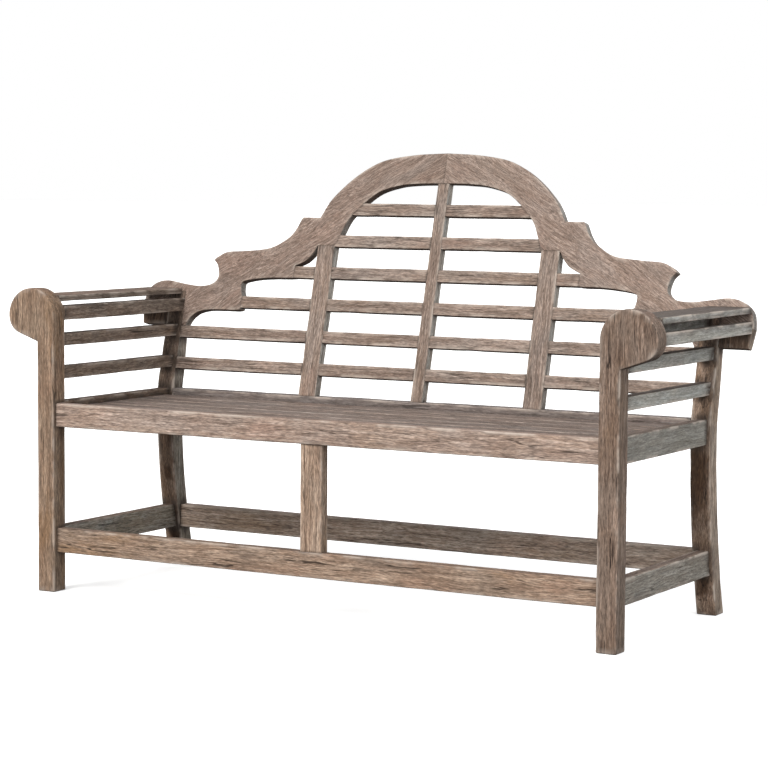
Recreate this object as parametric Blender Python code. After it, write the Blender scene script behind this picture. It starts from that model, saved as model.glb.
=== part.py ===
"""Garden bench: arched and slatted back, rolled arms, square legs tied by stretchers.

Metres, +Z up. The origin is on the floor under the middle of the bench, whose front
faces -Y. Left and right are those of someone who looks at the front. Every member is
a separate piece of wood, and the pieces meet in mortises and tenons.
"""
import math

import bmesh
import bpy
from mathutils import Vector

# Joinery
GAP = 0.0003                 # left between faces that meet, and all round a tenon
WALL = 0.003                 # wood left between two tenons in one member
ROOT = 0.003                 # how far a tenon starts inside its own member
HOUSING = 0.003              # how far a shaped member runs past an edge it houses
TENON_THICKNESS = 0.010
RAIL_TENON_LENGTH = 0.020
SLAT_TENON_LENGTH = 0.012
TENON_SHOULDER = 0.005       # a tenon's top and bottom inside those of its member

CURVE_STEPS = 6             # straight pieces between two given points of a curve
ROLL_STEPS = 30
LIP_STEPS = 10
SWEEP_STEPS = 12
BEND_STEPS = 6
MERGE_DISTANCE = 0.00002     # corners of an outline that are one corner

# Frame
INNER_WIDTH = 1.390          # between the inner faces of the legs
SEAT_DEPTH = 0.4815          # front of the legs to front of the back, at the seat
SEAT_HEIGHT = 0.445          # top of the side and rear seat rails
LEG_WIDTH = 0.0472
FRONT_LEG_DEPTH = 0.045
REAR_LEG_DEPTH = 0.043
REAR_LEG_TOP_DEPTH = 0.0245  # where it meets the crest
REAR_LEG_SWEEP = 0.0545      # how far the rear foot stands behind the leg's waist
WAIST_DROP = 0.035           # waist of the rear leg below the seat rails' top
RAIL_THICKNESS = 0.028
SEAT_RAIL_HEIGHT = 0.057
FRONT_RAIL_DROP = 0.002      # front seat rail's top below the side rails' top
FRONT_RAIL_SETBACK = 0.009   # behind the front of the legs
REAR_RAIL_THICKNESS = 0.036
REAR_RAIL_LEDGE = 0.0035     # in front of the stiles that stand on it
REAR_TENON_SETBACK = 0.022   # middle of the rear rail's tenons behind the leg's front
SIDE_SETBACK = 0.008         # side rails inside the outer face of the legs
STRETCHER_BOTTOM = 0.093
STRETCHER_HEIGHT = 0.057
FRONT_STRETCHER_SETBACK = 0.0125
REAR_STRETCHER_SETBACK = 0.008
POST_WIDTH = 0.0555
POST_DEPTH = 0.027
POST_TENON_SETBACK = 0.0045  # from the post's front to its tenons
POST_TENON_THICKNESS = 0.009
POST_TENON_LENGTH = 0.016

# Seat
SEAT_RECESS = 0.015          # slats' top below the side rails' top
SEAT_SLAT_COUNT = 6
SEAT_SLAT_THICKNESS = 0.018
SEAT_SLAT_GAP = 0.008
SEAT_EDGE_GAP = 0.005        # before the first slat and after the last
CLEAT_WIDTH = 0.024
BEARER_WIDTH = 0.048
BEARER_TENON_LENGTH = 0.012

# Back
RAKE = math.radians(13.87)
BOARD_THICKNESS = 0.0245     # stiles, crest and arm blocks
SLAT_THICKNESS = 0.020
SLAT_HEIGHT = 0.0295
FIRST_ROW_TOP = 0.0809       # lowest slat's top edge above the seat rail, up the slope
ROW_PITCH = 0.0794
STILE_X = 0.3028
STILE_WIDTH = 0.0472
CENTRE_STILE_WIDTH = 0.0297
ROW_3_END = 2.544            # where slats meet the crest, counted in bays from the centre
ROW_4_END = 2.159
ROW_5_ROOT = 0.90            # where the tenons into the arch begin, and row 6's ends
ROW_6_ROOT = 0.72
ROW_6_END = 0.90
STILE_TENON_LENGTH = 0.025
CROWN_TENON_LENGTH = 0.020
STILE_TENON_WIDTH = 0.024
CENTRE_TENON_WIDTH = 0.018
SPLINE_REACH = 0.020         # loose tongue across the crest's joint, each way
SPLINE_HEIGHT = 0.022
SPLINE_DEPTH = 0.019         # its top below the crown

# Arms
ROLL_RADIUS = 0.065
ROLL_LIP_RADIUS = 0.043
ROLL_UNDERCUT = math.radians(19)
ARM_ROW = 2.575              # height of the roll's centre, counted in slat rows
ARM_BOARD_INSET = 0.013      # board's edge inside the roll's widest point
ARM_BOARD_THICKNESS = 0.014
ARM_BOARD_RISE = 0.033       # its underside above the roll's centre
ARM_TENON_LENGTH = 0.012
OUTER_SLAT_INSET = 0.008
OUTER_SLAT_WIDTH = 0.019
OUTER_SLAT_HEIGHT = 0.027
OUTER_SLAT_DROP = 0.011      # its underside below the roll's centre
INNER_SLAT_INSET = 0.001
INNER_SLAT_WIDTH = 0.019
INNER_SLAT_HEIGHT = 0.033
INNER_SLAT_DROP = 0.010
ARM_SLAT_TENON_THICKNESS = 0.008
WING_OVERHANG = 0.002        # crest's end beyond the outer arm slat
BLOCK_SLANT = 0.007          # how far the arm block narrows towards its foot
SIDE_ROW_RISE = 0.003        # side rails above the back slats of the same row

# Colours of the weathered wood
FRAME_COLOUR = (0.31, 0.23, 0.18)
SLAT_COLOUR = (0.34, 0.26, 0.21)
CREST_COLOUR = (0.33, 0.25, 0.20)
ARM_COLOUR = (0.28, 0.24, 0.21)
HIDDEN_COLOUR = (0.22, 0.16, 0.12)
WOOD_ROUGHNESS = 0.85

# Places that several members share
LEG_IN = INNER_WIDTH / 2
LEG_OUT = LEG_IN + LEG_WIDTH
LEG_MIDDLE = LEG_IN + LEG_WIDTH / 2
SIDE_OUT = LEG_OUT - SIDE_SETBACK
SIDE_IN = SIDE_OUT - RAIL_THICKNESS
SIDE_TENON = (SIDE_OUT - RAIL_THICKNESS / 2 - TENON_THICKNESS / 2,
              SIDE_OUT - RAIL_THICKNESS / 2 + TENON_THICKNESS / 2)
SLAT_END_IN_LEG = SIDE_TENON[0] - WALL
STILE_IN = STILE_X - STILE_WIDTH / 2
STILE_OUT = STILE_X + STILE_WIDTH / 2
ROLL_X = LEG_IN + ROLL_RADIUS
OUTER_SLAT_OUT = ROLL_X + ROLL_RADIUS - OUTER_SLAT_INSET
INNER_SLAT_IN = ROLL_X - ROLL_RADIUS + INNER_SLAT_INSET
WING_END = OUTER_SLAT_OUT + WING_OVERHANG


def across(u):
    """Place across the back: 0 centre, 1 and 2 the stile's faces, 3 the leg, 4 the wing's end."""
    stations = (0.0, STILE_IN, STILE_OUT, LEG_IN, WING_END)
    bay = min(int(u), len(stations) - 2)
    return stations[bay] + (u - bay) * (stations[bay + 1] - stations[bay])


def up(v):
    """Place up the back's slope: a whole v is the top edge of that row of slats."""
    return FIRST_ROW_TOP + (v - 1) * ROW_PITCH


CROWN = up(7.576)
ARCH_CROWN = up(6.643)
STILE_TOP = up(5) - SLAT_HEIGHT + HOUSING
LEG_TOP = up(3.09)
WING_SEAT = up(2.588)
BLOCK_BOTTOM = up(2.02)
ROLL_HEIGHT = SEAT_HEIGHT + up(ARM_ROW) * math.cos(RAKE)

# The bench's depth runs from the front legs to the back of the crown
DEPTH = SEAT_DEPTH + CROWN * math.sin(RAKE) + BOARD_THICKNESS * math.cos(RAKE)
FRONT_Y = -DEPTH / 2
BACK_Y = FRONT_Y + SEAT_DEPTH
WAIST = SEAT_HEIGHT - WAIST_DROP
LEG_BACK_Y = FRONT_Y + FRONT_LEG_DEPTH
FRONT_RAIL_Y = FRONT_Y + FRONT_RAIL_SETBACK
FRONT_RAIL_TOP = SEAT_HEIGHT - FRONT_RAIL_DROP
RAIL_BOTTOM = SEAT_HEIGHT - SEAT_RAIL_HEIGHT
REAR_RAIL_Y = BACK_Y - REAR_RAIL_LEDGE
STRETCHER_TOP = STRETCHER_BOTTOM + STRETCHER_HEIGHT
FRONT_STRETCHER_Y = FRONT_Y + FRONT_STRETCHER_SETBACK
SLAT_TOP = SEAT_HEIGHT - SEAT_RECESS
SLAT_BOTTOM = SLAT_TOP - SEAT_SLAT_THICKNESS
SEAT_FRONT_Y = LEG_BACK_Y + SEAT_EDGE_GAP
SEAT_REAR_Y = REAR_RAIL_Y - SEAT_EDGE_GAP

FACING_FRONT = (math.pi / 2, 0.0, 0.0)
FACING_SIDE = (math.pi / 2, 0.0, math.pi / 2)
SIDES = {"left": -1, "right": 1}


def clear_scene():
    """Remove the objects that the scene starts with."""
    for item in list(bpy.data.objects):
        bpy.data.objects.remove(item, do_unlink=True)


def new_collection(name):
    """A collection in the scene."""
    group = bpy.data.collections.new(name)
    bpy.context.scene.collection.children.link(group)
    return group


clear_scene()
BENCH = new_collection("garden_bench")
GUIDES = new_collection("cutters")


def add_back_frame():
    """An empty at the foot of the back, whose Z runs up the slope and Y through the boards."""
    frame = bpy.data.objects.new("back_frame", None)
    frame.location = (0.0, BACK_Y, SEAT_HEIGHT)
    frame.rotation_euler = (-RAKE, 0.0, 0.0)
    BENCH.objects.link(frame)
    return frame


BACK = add_back_frame()
bpy.context.view_layer.update()


def finish(item, colour):
    """Give the piece a wood material of its own."""
    material = bpy.data.materials.new(item.name)
    material.use_nodes = True
    shader = material.node_tree.nodes["Principled BSDF"]
    shader.inputs["Base Color"].default_value = (*colour, 1.0)
    shader.inputs["Roughness"].default_value = WOOD_ROUGHNESS
    shader.inputs["Metallic"].default_value = 0.0
    item.data.materials.append(material)


def as_guide(item):
    """Keep the object out of the model: it only cuts, or joins as part of another piece."""
    item.hide_render = True
    item.display_type = "WIRE"


def box(name, xs, ys, zs, parent=None, group=None):
    """A squared member between two places along each axis, in its parent's frame."""
    low = Vector([min(pair) for pair in (xs, ys, zs)])
    high = Vector([max(pair) for pair in (xs, ys, zs)])
    shape = bmesh.new()
    bmesh.ops.create_cube(shape, size=1.0)
    bmesh.ops.scale(shape, vec=high - low, verts=shape.verts)
    mesh = bpy.data.meshes.new(name)
    shape.to_mesh(mesh)
    shape.free()
    item = bpy.data.objects.new(name, mesh)
    item.location = (low + high) / 2
    item.parent = parent
    (group or BENCH).objects.link(item)
    return item


def board(name, outline, thickness, rotation, location, parent=None, group=None):
    """A board sawn to an outline: the outline is filled, thickened and turned to face its way."""
    curve = bpy.data.curves.new(name, "CURVE")
    curve.dimensions = "2D"
    curve.fill_mode = "BOTH"
    curve.extrude = thickness / 2
    spline = curve.splines.new("POLY")
    spline.points.add(len(outline) - 1)
    for point, (along, height) in zip(spline.points, outline):
        point.co = (along, height, 0.0, 1.0)
    spline.use_cyclic_u = True
    blank = bpy.data.objects.new(name + "_outline", curve)
    GUIDES.objects.link(blank)
    blank.rotation_euler = rotation
    blank.location = location
    blank.parent = parent
    depsgraph = bpy.context.evaluated_depsgraph_get()
    mesh = bpy.data.meshes.new_from_object(blank.evaluated_get(depsgraph))
    shape = bmesh.new()
    shape.from_mesh(mesh)
    bmesh.ops.remove_doubles(shape, verts=shape.verts, dist=MERGE_DISTANCE)
    bmesh.ops.recalc_face_normals(shape, faces=shape.faces)
    shape.to_mesh(mesh)
    shape.free()
    item = bpy.data.objects.new(name, mesh)
    item.rotation_euler = rotation
    item.location = location
    item.parent = parent
    bpy.data.objects.remove(blank, do_unlink=True)
    (group or BENCH).objects.link(item)
    return item


def combine(item, operand, operation):
    """Cut the operand out of the piece, or join it on."""
    modifier = item.modifiers.new(operand.name, "BOOLEAN")
    modifier.operation = operation
    modifier.solver = "EXACT"
    modifier.object = operand


def tenon(member, hosts, xs, ys, zs, parent=None):
    """Join a tenon on to the member, and cut its mortise, GAP larger all round, in the hosts."""
    tongue = box(member.name + "_tenon", xs, ys, zs, parent, GUIDES)
    as_guide(tongue)
    combine(member, tongue, "UNION")
    room = [(min(pair) - GAP, max(pair) + GAP) for pair in (xs, ys, zs)]
    mortise = box(member.name + "_mortise", *room, parent, GUIDES)
    as_guide(mortise)
    for host in hosts:
        combine(host, mortise, "DIFFERENCE")


def smooth(points):
    """Points along a smooth curve through the given ones, both ends included."""
    ends = [2 * points[0] - points[1], *points, 2 * points[-1] - points[-2]]
    curve = []
    for a, b, c, d in zip(ends, ends[1:], ends[2:], ends[3:]):
        for step in range(CURVE_STEPS):
            t = step / CURVE_STEPS
            curve.append(b + (c - a) * (t / 2)
                         + (2 * a - 5 * b + 4 * c - d) * (t * t / 2)
                         + (3 * b - a - 3 * c + d) * (t * t * t / 2))
    curve.append(points[-1])
    return curve


def on_grid(*places):
    """Points of the back from their places (u, v) on its grid of bays and rows."""
    return [Vector((across(u), up(v))) for u, v in places]


def arc(centre, radius, start, end, steps):
    """Points round an arc, both ends included, from angle start to angle end."""
    angles = [start + (end - start) * step / steps for step in range(steps + 1)]
    return [Vector((centre[0] + radius * math.cos(a), centre[1] + radius * math.sin(a)))
            for a in angles]


def grow(outline, distance):
    """The closed outline moved outwards by a distance, its corners mitred."""
    pairs = list(zip(outline, outline[1:] + outline[:1]))
    area = sum(a.x * b.y - b.x * a.y for a, b in pairs)
    outward = math.copysign(distance, area)
    normals = [Vector((b.y - a.y, a.x - b.x)).normalized() for a, b in pairs]
    grown = []
    for point, before, after in zip(outline, normals[-1:] + normals[:-1], normals):
        grown.append(point + (before + after) * (outward / (1 + before.dot(after))))
    return grown


def mirrored(outline, side):
    """The outline on one side of the centre line."""
    return [Vector((side * point.x, point.y)) for point in outline]


# ---------------------------------------------------------------- legs

def front_leg_outline():
    """Leg and arm roll in one board, seen from the front, outwards from the leg's inner face."""
    quarter = math.pi / 2
    roll = arc((ROLL_RADIUS, ROLL_HEIGHT), ROLL_RADIUS, 2 * quarter, 0.0, ROLL_STEPS)
    lip_centre = (2 * ROLL_RADIUS - ROLL_LIP_RADIUS, ROLL_HEIGHT)
    lip = arc(lip_centre, ROLL_LIP_RADIUS, 0.0, ROLL_UNDERCUT - quarter, LIP_STEPS)
    reach = lip[-1].x - LEG_WIDTH
    throat = Vector((LEG_WIDTH, lip[-1].y - reach * math.tan(ROLL_UNDERCUT)))
    return [Vector((0.0, 0.0)), *roll, *lip[1:], throat, Vector((LEG_WIDTH, 0.0))]


def rear_leg_front(z):
    """How far back the rear leg's front face is at a height: swept foot, waist, raked top."""
    if z < WAIST:
        return BACK_Y + REAR_LEG_SWEEP * ((WAIST - z) / WAIST) ** 2
    if z < WAIST + 2 * WAIST_DROP:
        return BACK_Y + math.tan(RAKE) * (z - WAIST) ** 2 / (4 * WAIST_DROP)
    return BACK_Y + math.tan(RAKE) * (z - SEAT_HEIGHT)


def rear_leg_slope(z):
    """How fast that face runs back with height."""
    if z < WAIST:
        return -2 * REAR_LEG_SWEEP * (WAIST - z) / WAIST ** 2
    return math.tan(RAKE) * min(1.0, (z - WAIST) / (2 * WAIST_DROP))


def rear_leg_outline():
    """Rear leg seen from the side: one depth up to the bend, tapered above it."""
    sweep = [WAIST * step / SWEEP_STEPS for step in range(SWEEP_STEPS)]
    bend = [WAIST + 2 * WAIST_DROP * step / BEND_STEPS for step in range(BEND_STEPS + 1)]
    front = []
    rear = []
    for z in sweep + bend:
        face = rear_leg_front(z)
        front.append(Vector((face, z)))
        rear.append(Vector((face + REAR_LEG_DEPTH * math.hypot(1.0, rear_leg_slope(z)), z)))
    slope = Vector((math.sin(RAKE), math.cos(RAKE)))
    square = Vector((math.cos(RAKE), -math.sin(RAKE)))
    top = Vector((BACK_Y, SEAT_HEIGHT)) + slope * LEG_TOP
    return [*front, top, top + square * REAR_LEG_TOP_DEPTH, *reversed(rear)]


def add_front_leg(hand):
    """Front leg, with the arm's roll worked on its top."""
    side = SIDES[hand]
    outline = mirrored(front_leg_outline(), side)
    place = (side * LEG_IN, FRONT_Y + FRONT_LEG_DEPTH / 2, 0.0)
    leg = board("front_leg_" + hand, outline, FRONT_LEG_DEPTH, FACING_FRONT, place)
    finish(leg, FRAME_COLOUR)
    return leg


def add_rear_leg(hand):
    """Rear leg: swept back below the seat and raked above it."""
    place = (SIDES[hand] * LEG_MIDDLE, 0.0, 0.0)
    leg = board("rear_leg_" + hand, rear_leg_outline(), LEG_WIDTH, FACING_SIDE, place)
    finish(leg, FRAME_COLOUR)
    return leg


FRONT_LEGS = {hand: add_front_leg(hand) for hand in SIDES}
REAR_LEGS = {hand: add_rear_leg(hand) for hand in SIDES}
REAR_LEG_ROOM = board("rear_leg_room", grow(rear_leg_outline(), GAP), 2 * LEG_OUT + LEG_WIDTH,
                      FACING_SIDE, (0.0, 0.0, 0.0), group=GUIDES)
as_guide(REAR_LEG_ROOM)


# ---------------------------------------------------------------- rails and stretchers

def add_cross_rail(name, legs, ys, zs, tenon_y):
    """A rail across the bench between two legs, tenoned into both."""
    rail = box(name, (GAP - LEG_IN, LEG_IN - GAP), ys, zs)
    for hand, side in SIDES.items():
        xs = (side * (LEG_IN - ROOT), side * (LEG_IN + RAIL_TENON_LENGTH))
        thickness = (tenon_y - TENON_THICKNESS / 2, tenon_y + TENON_THICKNESS / 2)
        height = (zs[0] + TENON_SHOULDER, zs[1] - TENON_SHOULDER)
        tenon(rail, [legs[hand]], xs, thickness, height)
    finish(rail, FRAME_COLOUR)
    return rail


def add_side_rail(name, hand, zs, front_end, rear_end):
    """A rail from the front leg to the rear leg, scribed to the rear leg and tenoned into both."""
    side = SIDES[hand]
    middle = rear_leg_front((zs[0] + zs[1]) / 2)
    ys = (LEG_BACK_Y + GAP, middle + REAR_LEG_DEPTH / 2)
    rail = box(name, (side * SIDE_IN, side * SIDE_OUT), ys, zs)
    combine(rail, REAR_LEG_ROOM, "DIFFERENCE")
    xs = (side * SIDE_TENON[0], side * SIDE_TENON[1])
    height = (zs[0] + TENON_SHOULDER, zs[1] - TENON_SHOULDER)
    nearest = min(rear_leg_front(z) for z in zs)
    tenon(rail, [FRONT_LEGS[hand]], xs, (front_end, LEG_BACK_Y + ROOT), height)
    tenon(rail, [REAR_LEGS[hand]], xs, (nearest - ROOT, rear_end), height)
    finish(rail, FRAME_COLOUR)
    return rail


FRONT_TENON_Y = FRONT_RAIL_Y + RAIL_THICKNESS / 2
REAR_TENON_Y = BACK_Y + REAR_TENON_SETBACK
FRONT_RAIL = add_cross_rail(
    "front_seat_rail", FRONT_LEGS, (FRONT_RAIL_Y, FRONT_RAIL_Y + RAIL_THICKNESS),
    (RAIL_BOTTOM, FRONT_RAIL_TOP), FRONT_TENON_Y)
REAR_RAIL = add_cross_rail(
    "rear_seat_rail", REAR_LEGS, (REAR_RAIL_Y, REAR_RAIL_Y + REAR_RAIL_THICKNESS),
    (RAIL_BOTTOM, SEAT_HEIGHT), REAR_TENON_Y)

STRETCHER_MIDDLE = STRETCHER_BOTTOM + STRETCHER_HEIGHT / 2
REAR_STRETCHER_Y = rear_leg_front(STRETCHER_MIDDLE) + REAR_STRETCHER_SETBACK
FRONT_STRETCHER = add_cross_rail(
    "front_stretcher", FRONT_LEGS, (FRONT_STRETCHER_Y, FRONT_STRETCHER_Y + RAIL_THICKNESS),
    (STRETCHER_BOTTOM, STRETCHER_TOP), FRONT_STRETCHER_Y + RAIL_THICKNESS / 2)
REAR_STRETCHER = add_cross_rail(
    "rear_stretcher", REAR_LEGS, (REAR_STRETCHER_Y, REAR_STRETCHER_Y + RAIL_THICKNESS),
    (STRETCHER_BOTTOM, STRETCHER_TOP), REAR_STRETCHER_Y + RAIL_THICKNESS / 2)

CLEAR_OF_TENON = TENON_THICKNESS / 2 + WALL
FRONT_RAIL_LIMIT = FRONT_TENON_Y + CLEAR_OF_TENON
for hand in SIDES:
    add_side_rail("side_seat_rail_" + hand, hand, (RAIL_BOTTOM, SEAT_HEIGHT),
                  FRONT_RAIL_LIMIT, REAR_TENON_Y - CLEAR_OF_TENON)
    add_side_rail("side_stretcher_" + hand, hand, (STRETCHER_BOTTOM, STRETCHER_TOP),
                  FRONT_STRETCHER_Y + RAIL_THICKNESS / 2 + CLEAR_OF_TENON,
                  REAR_STRETCHER_Y + RAIL_THICKNESS / 2 - CLEAR_OF_TENON)
    for row, level in ((1, "lower"), (2, "upper")):
        top = SEAT_HEIGHT + up(row) * math.cos(RAKE) + SIDE_ROW_RISE
        face = rear_leg_front(top - SLAT_HEIGHT / 2)
        add_side_rail("side_rail_{}_{}".format(level, hand), hand, (top - SLAT_HEIGHT, top),
                      FRONT_RAIL_LIMIT, face + ARM_TENON_LENGTH)


def add_centre_post():
    """Post between the front stretcher and the front seat rail."""
    ys = (FRONT_STRETCHER_Y, FRONT_STRETCHER_Y + POST_DEPTH)
    post = box("centre_post", (-POST_WIDTH / 2, POST_WIDTH / 2), ys,
               (STRETCHER_TOP + GAP, RAIL_BOTTOM - GAP))
    half = POST_WIDTH / 2 - 2 * TENON_SHOULDER
    front = FRONT_STRETCHER_Y + POST_TENON_SETBACK
    rear = front + POST_TENON_THICKNESS
    tenon(post, [FRONT_RAIL], (-half, half), (front, rear),
          (RAIL_BOTTOM - ROOT, RAIL_BOTTOM + POST_TENON_LENGTH))
    tenon(post, [FRONT_STRETCHER], (-half, half), (front, rear),
          (STRETCHER_TOP - POST_TENON_LENGTH, STRETCHER_TOP + ROOT))
    finish(post, FRAME_COLOUR)
    return rear


# ---------------------------------------------------------------- seat

def add_seat_bearer(post_tenon_rear):
    """Bearer under the middle of the seat slats, from the front rail to the rear rail."""
    front = FRONT_RAIL_Y + RAIL_THICKNESS
    zs = (RAIL_BOTTOM, SLAT_BOTTOM - GAP)
    bearer = box("seat_bearer", (-BEARER_WIDTH / 2, BEARER_WIDTH / 2),
                 (front + GAP, REAR_RAIL_Y - GAP), zs)
    half = BEARER_WIDTH / 2 - TENON_SHOULDER
    height = (zs[0] + TENON_SHOULDER, zs[1] - TENON_SHOULDER)
    tenon(bearer, [FRONT_RAIL], (-half, half), (post_tenon_rear + WALL, front + ROOT), height)
    tenon(bearer, [REAR_RAIL], (-half, half),
          (REAR_RAIL_Y - ROOT, REAR_RAIL_Y + BEARER_TENON_LENGTH), height)
    finish(bearer, HIDDEN_COLOUR)


def add_seat_cleats():
    """Cleats along the side rails, under the ends of the seat slats."""
    for hand, side in SIDES.items():
        outer = SIDE_IN - GAP
        cleat = box("seat_cleat_" + hand, (side * (outer - CLEAT_WIDTH), side * outer),
                    (SEAT_FRONT_Y, SEAT_REAR_Y), (RAIL_BOTTOM, SLAT_BOTTOM - GAP))
        finish(cleat, HIDDEN_COLOUR)


def add_seat_slats():
    """Seat slats side by side from front to back, each running from side rail to side rail."""
    room = SEAT_REAR_Y - SEAT_FRONT_Y + SEAT_SLAT_GAP
    pitch = room / SEAT_SLAT_COUNT
    end = SIDE_IN - GAP
    for number in range(SEAT_SLAT_COUNT):
        front = SEAT_FRONT_Y + number * pitch
        slat = box("seat_slat_{}".format(number + 1), (-end, end),
                   (front, front + pitch - SEAT_SLAT_GAP), (SLAT_BOTTOM, SLAT_TOP))
        finish(slat, SLAT_COLOUR)


add_seat_bearer(add_centre_post())
add_seat_cleats()
add_seat_slats()


# ---------------------------------------------------------------- back

def crest_outline():
    """Right half of the crest, from the crown out to the wing's end and back underneath."""
    arch = smooth(on_grid((0.0, 7.576), (0.29, 7.525), (0.56, 7.387), (0.745, 7.128),
                          (0.93, 6.675), (1.568, 6.077), (2.012, 5.542)))
    cove = smooth(on_grid((2.145, 5.542), (2.159, 5.434), (2.189, 5.157), (2.243, 4.868),
                          (2.373, 4.553), (2.569, 4.439), (2.70, 4.40), (2.77, 4.26),
                          (2.807, 4.131)))
    ear = smooth(on_grid((2.807, 4.131), (2.772, 3.948), (2.756, 3.64), (2.775, 3.445),
                         (2.829, 3.319), (2.919, 3.287), (3.121, 3.356), (3.484, 3.432),
                         (3.75, 3.34), (3.93, 3.10), (3.985, 2.83), (4.0, 2.588)))
    saddle = [Vector((LEG_OUT + GAP, WING_SEAT)),
              Vector((LEG_OUT + GAP, LEG_TOP + GAP)),
              Vector((LEG_IN - GAP, LEG_TOP + GAP))]
    slat_top = up(2) + GAP
    toe = [Vector((LEG_IN - GAP, slat_top)), Vector((across(2.97), slat_top))]
    fish = smooth(on_grid((2.97, 2.02), (2.938, 2.26), (2.886, 2.437), (2.81, 2.525), (2.7, 2.548),
                          (2.6, 2.548), (2.551, 2.565)))
    row_3 = [Vector((across(ROW_3_END), up(3) - SLAT_HEIGHT - GAP)),
             Vector((across(ROW_3_END), up(3) + GAP))]
    bay = smooth(on_grid((2.544, 3.01), (2.556, 3.18), (2.56, 3.38), (2.549, 3.457),
                         (2.498, 3.52), (2.4, 3.583), (2.303, 3.614), (2.2, 3.614)))
    row_4 = [Vector((across(ROW_4_END), up(4) - SLAT_HEIGHT - GAP)),
             Vector((across(ROW_4_END), up(4) + GAP))]
    haunch = smooth(on_grid((2.14, 4.04), (2.086, 4.162), (2.048, 4.32), (2.024, 4.46)))
    shoulder = [Vector((STILE_OUT, STILE_TOP + GAP)), Vector((STILE_IN, STILE_TOP + GAP))]
    soffit = smooth(on_grid((0.953, 5.044), (0.913, 5.378), (0.863, 5.636), (0.752, 6.026),
                            (0.616, 6.367), (0.423, 6.568), (0.229, 6.631), (0.0, 6.643)))
    outline = [*arch, *cove, *ear[1:], *saddle, *toe, *fish[1:], *row_3, *bay, *row_4, *haunch,
               *shoulder, *soffit]
    return [Vector((max(point.x, GAP / 2), point.y)) for point in outline]


def add_crest(hand):
    """One half of the crest; it is saddled over the rear leg's top."""
    side = SIDES[hand]
    crest = board("crest_" + hand, mirrored(crest_outline(), side), BOARD_THICKNESS,
                  FACING_FRONT, (0.0, BOARD_THICKNESS / 2, 0.0), BACK)
    finish(crest, CREST_COLOUR)
    leg_tenon_y = (BOARD_THICKNESS / 2 - TENON_THICKNESS / 2,
                   BOARD_THICKNESS / 2 + TENON_THICKNESS / 2)
    low = up(2) + 2 * TENON_SHOULDER
    tenon(crest, [REAR_LEGS[hand]], (side * (LEG_IN - ROOT), side * SLAT_END_IN_LEG),
          leg_tenon_y, (low, low + STILE_TENON_WIDTH), BACK)
    tenon(REAR_LEGS[hand], [crest],
          (side * (LEG_MIDDLE - STILE_TENON_WIDTH / 2), side * (LEG_MIDDLE + STILE_TENON_WIDTH / 2)),
          leg_tenon_y, (LEG_TOP - ROOT, LEG_TOP + SLAT_TENON_LENGTH), BACK)
    return crest


def add_crest_room():
    """The space that the crest and a hair's breadth round it take, to scribe the slats to."""
    for hand, side in SIDES.items():
        outline = grow(mirrored(crest_outline(), side), GAP)
        room = board("crest_room_" + hand, outline, 3 * BOARD_THICKNESS, FACING_FRONT,
                     (0.0, BOARD_THICKNESS / 2, 0.0), BACK, GUIDES)
        as_guide(room)
        yield hand, room


def add_stile(name, x, width, top, tenon_width, top_tenon, hosts):
    """An upright of the back: its foot is cut level on the rear rail, and its top meets the crest."""
    stile = box(name, (x - width / 2, x + width / 2), (0.0, BOARD_THICKNESS), (0.0, top), BACK)
    for vertex in stile.data.vertices:
        if vertex.co.z < 0.0:
            depth = stile.location.y + vertex.co.y
            level = depth * math.tan(RAKE) + GAP / math.cos(RAKE)
            vertex.co.z = level - stile.location.z
    xs = (x - tenon_width / 2, x + tenon_width / 2)
    ys = (BOARD_THICKNESS / 2 - TENON_THICKNESS / 2, BOARD_THICKNESS / 2 + TENON_THICKNESS / 2)
    foot = BOARD_THICKNESS * math.tan(RAKE) + ROOT
    tenon(stile, [REAR_RAIL], xs, ys, (-STILE_TENON_LENGTH, foot), BACK)
    tenon(stile, hosts, xs, ys, (top - ROOT, top + top_tenon), BACK)
    finish(stile, SLAT_COLOUR)
    return stile


def add_back_slat(name, side, row, span, scribe, ends):
    """A slat of the back; each of its ends has a tenon that reaches a place inside a host."""
    top = up(row)
    zs = (top - SLAT_HEIGHT, top)
    slat = box(name, (side * span[0], side * span[1]), (0.0, SLAT_THICKNESS), zs, BACK)
    if scribe:
        combine(slat, scribe, "DIFFERENCE")
    ys = (SLAT_THICKNESS / 2 - TENON_THICKNESS / 2, SLAT_THICKNESS / 2 + TENON_THICKNESS / 2)
    height = (zs[0] + TENON_SHOULDER, zs[1] - TENON_SHOULDER)
    for root, end, hosts in ends:
        tenon(slat, hosts, (side * root, side * end), ys, height, BACK)
    finish(slat, SLAT_COLOUR)


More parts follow.
